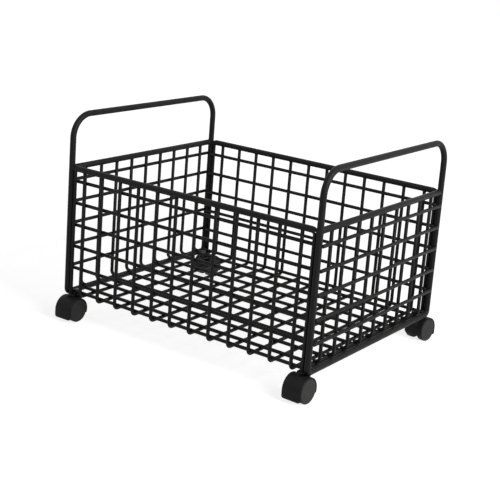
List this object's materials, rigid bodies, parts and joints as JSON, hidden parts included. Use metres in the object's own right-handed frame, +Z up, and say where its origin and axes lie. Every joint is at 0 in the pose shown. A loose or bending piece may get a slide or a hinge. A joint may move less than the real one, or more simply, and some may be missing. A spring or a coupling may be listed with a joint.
{
  "type": "mobile file cart",
  "caption": "Open-topped black wire basket for files, hung between rod hoops whose tops are fixed handles, rolling on hooded twin-wheel swivel casters.",
  "frame": {"origin": "on the floor, under the middle of the cart's bounding box", "axes": "+Z up, X along the cart's long side from the left hoop to the right one, -Y towards its front"},
  "size_m": [0.4148, 0.3448, 0.2918],
  "materials": {
    "powder_coat": "black satin powder coat",
    "zinc_steel": "dark zinc plated",
    "hood_plastic": "black moulded nylon",
    "wheel_plastic": "dark grey moulded nylon"
  },
  "bodies": {
    "basket": {"left_hoop": "powder_coat", "right_hoop": "powder_coat", "front_rim": "powder_coat", "back_rim": "powder_coat", "left_side_rim": "powder_coat", "right_side_rim": "powder_coat", "front_wire_panel": "powder_coat", "back_wire_panel": "powder_coat", "left_wire_panel": "powder_coat", "right_wire_panel": "powder_coat", "floor_wire_panel": "powder_coat", "front_left_caster_tab": "powder_coat", "front_left_caster_stem": "zinc_steel", "front_left_stem_nut": "zinc_steel", "front_left_stem_ring": "zinc_steel", "front_right_caster_tab": "powder_coat", "front_right_caster_stem": "zinc_steel", "front_right_stem_nut": "zinc_steel", "front_right_stem_ring": "zinc_steel", "back_left_caster_tab": "powder_coat", "back_left_caster_stem": "zinc_steel", "back_left_stem_nut": "zinc_steel", "back_left_stem_ring": "zinc_steel", "back_right_caster_tab": "powder_coat", "back_right_caster_stem": "zinc_steel", "back_right_stem_nut": "zinc_steel", "back_right_stem_ring": "zinc_steel"},
    "front_left_caster": {"front_left_caster_hood": "hood_plastic", "front_left_caster_axle": "zinc_steel"},
    "front_left_left_wheel": {"front_left_left_wheel": "wheel_plastic"},
    "front_left_right_wheel": {"front_left_right_wheel": "wheel_plastic"},
    "front_right_caster": {"front_right_caster_hood": "hood_plastic", "front_right_caster_axle": "zinc_steel"},
    "front_right_left_wheel": {"front_right_left_wheel": "wheel_plastic"},
    "front_right_right_wheel": {"front_right_right_wheel": "wheel_plastic"},
    "back_left_caster": {"back_left_caster_hood": "hood_plastic", "back_left_caster_axle": "zinc_steel"},
    "back_left_left_wheel": {"back_left_left_wheel": "wheel_plastic"},
    "back_left_right_wheel": {"back_left_right_wheel": "wheel_plastic"},
    "back_right_caster": {"back_right_caster_hood": "hood_plastic", "back_right_caster_axle": "zinc_steel"},
    "back_right_left_wheel": {"back_right_left_wheel": "wheel_plastic"},
    "back_right_right_wheel": {"back_right_right_wheel": "wheel_plastic"}
  },
  "joints": [
    {"name": "front_left_swivel", "type": "hinge", "parent": "basket", "child": "front_left_caster", "pos_m": [-0.19267, -0.14171, 0.03], "axis": [0, 0, 1], "continuous": true},
    {"name": "front_left_left_wheel_spin", "type": "hinge", "parent": "front_left_caster", "child": "front_left_left_wheel", "pos_m": [-0.19245, -0.1542, 0.01596], "axis": [0.9998, 0.0175, 0], "continuous": true},
    {"name": "front_left_right_wheel_spin", "type": "hinge", "parent": "front_left_caster", "child": "front_left_right_wheel", "pos_m": [-0.19245, -0.1542, 0.01596], "axis": [0.9998, 0.0175, 0], "continuous": true},
    {"name": "front_right_swivel", "type": "hinge", "parent": "basket", "child": "front_right_caster", "pos_m": [0.19033, -0.14171, 0.03], "axis": [0, 0, 1], "continuous": true},
    {"name": "front_right_left_wheel_spin", "type": "hinge", "parent": "front_right_caster", "child": "front_right_left_wheel", "pos_m": [0.19, -0.1542, 0.01596], "axis": [0.9997, -0.0262, 0], "continuous": true},
    {"name": "front_right_right_wheel_spin", "type": "hinge", "parent": "front_right_caster", "child": "front_right_right_wheel", "pos_m": [0.19, -0.1542, 0.01596], "axis": [0.9997, -0.0262, 0], "continuous": true},
    {"name": "back_left_swivel", "type": "hinge", "parent": "basket", "child": "back_left_caster", "pos_m": [-0.19267, 0.14077, 0.03], "axis": [0, 0, 1], "continuous": true},
    {"name": "back_left_left_wheel_spin", "type": "hinge", "parent": "back_left_caster", "child": "back_left_left_wheel", "pos_m": [-0.19223, 0.15326, 0.01596], "axis": [-0.9994, 0.0349, 0], "continuous": true},
    {"name": "back_left_right_wheel_spin", "type": "hinge", "parent": "back_left_caster", "child": "back_left_right_wheel", "pos_m": [-0.19223, 0.15326, 0.01596], "axis": [-0.9994, 0.0349, 0], "continuous": true},
    {"name": "back_right_swivel", "type": "hinge", "parent": "basket", "child": "back_right_caster", "pos_m": [0.19033, 0.14077, 0.03], "axis": [0, 0, 1], "continuous": true},
    {"name": "back_right_left_wheel_spin", "type": "hinge", "parent": "back_right_caster", "child": "back_right_left_wheel", "pos_m": [0.19164, 0.1532, 0.01596], "axis": [-0.9945, 0.1045, 0], "continuous": true},
    {"name": "back_right_right_wheel_spin", "type": "hinge", "parent": "back_right_caster", "child": "back_right_right_wheel", "pos_m": [0.19164, 0.1532, 0.01596], "axis": [-0.9945, 0.1045, 0], "continuous": true}
  ]
}
